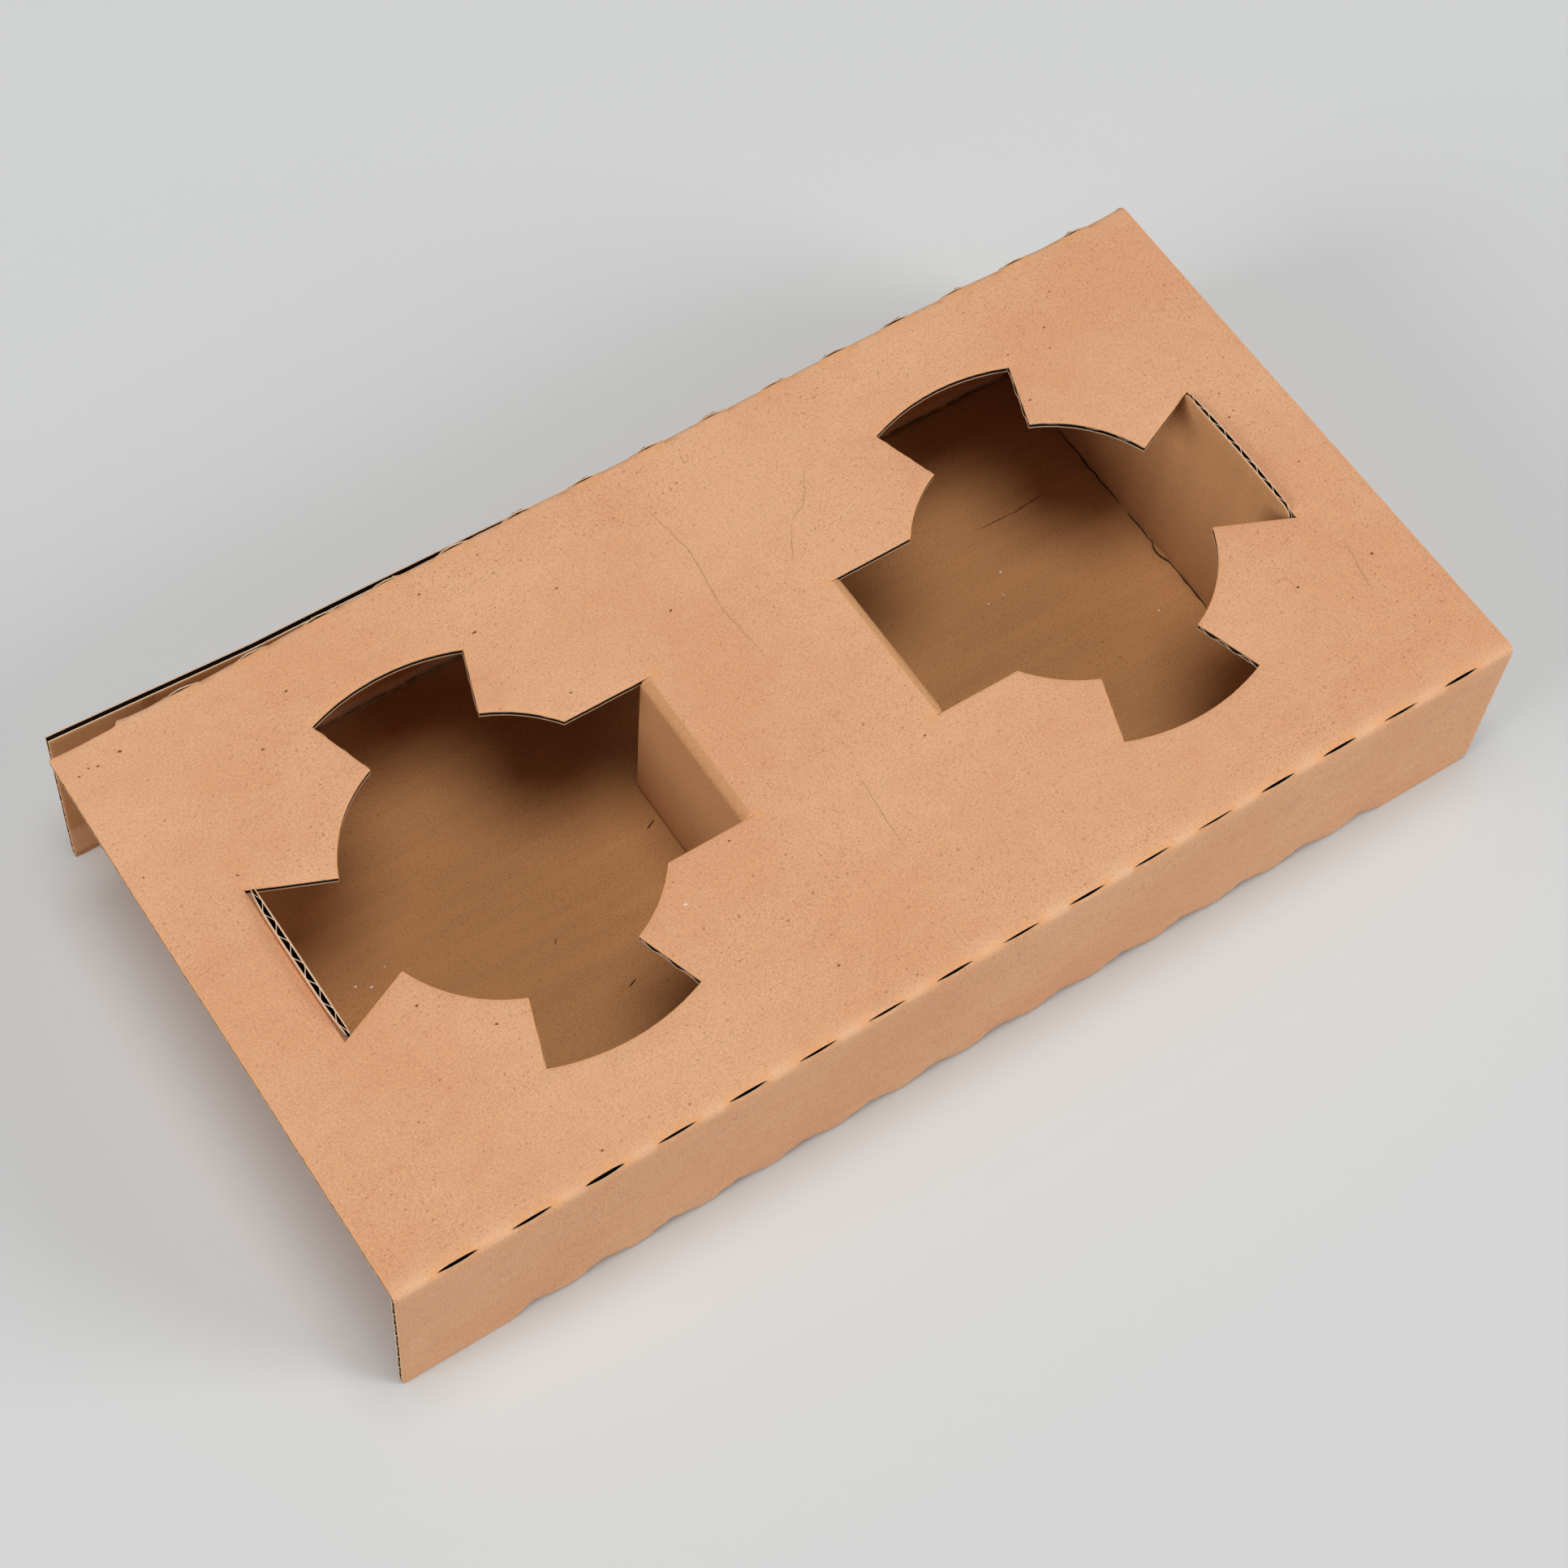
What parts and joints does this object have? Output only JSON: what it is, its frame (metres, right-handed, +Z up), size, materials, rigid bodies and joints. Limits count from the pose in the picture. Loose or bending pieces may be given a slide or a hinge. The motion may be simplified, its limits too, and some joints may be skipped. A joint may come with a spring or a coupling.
{
  "type": "cardboard cup carrier",
  "caption": "Low folded sleeve of corrugated kraft board with lobed cup cut-outs, tabbed end walls and folded-down inner flaps.",
  "frame": {"origin": "on the table, at the middle of the carrier's overall box", "axes": "+X along the length and the flutes, +Y from the plain front wall to the glued back wall, +Z up"},
  "size_m": [0.25, 0.129, 0.0422],
  "materials": {
    "kraft_board": "matte, uncoated"
  },
  "bodies": {
    "root": {"carrier": "kraft_board"}
  },
  "joints": []
}
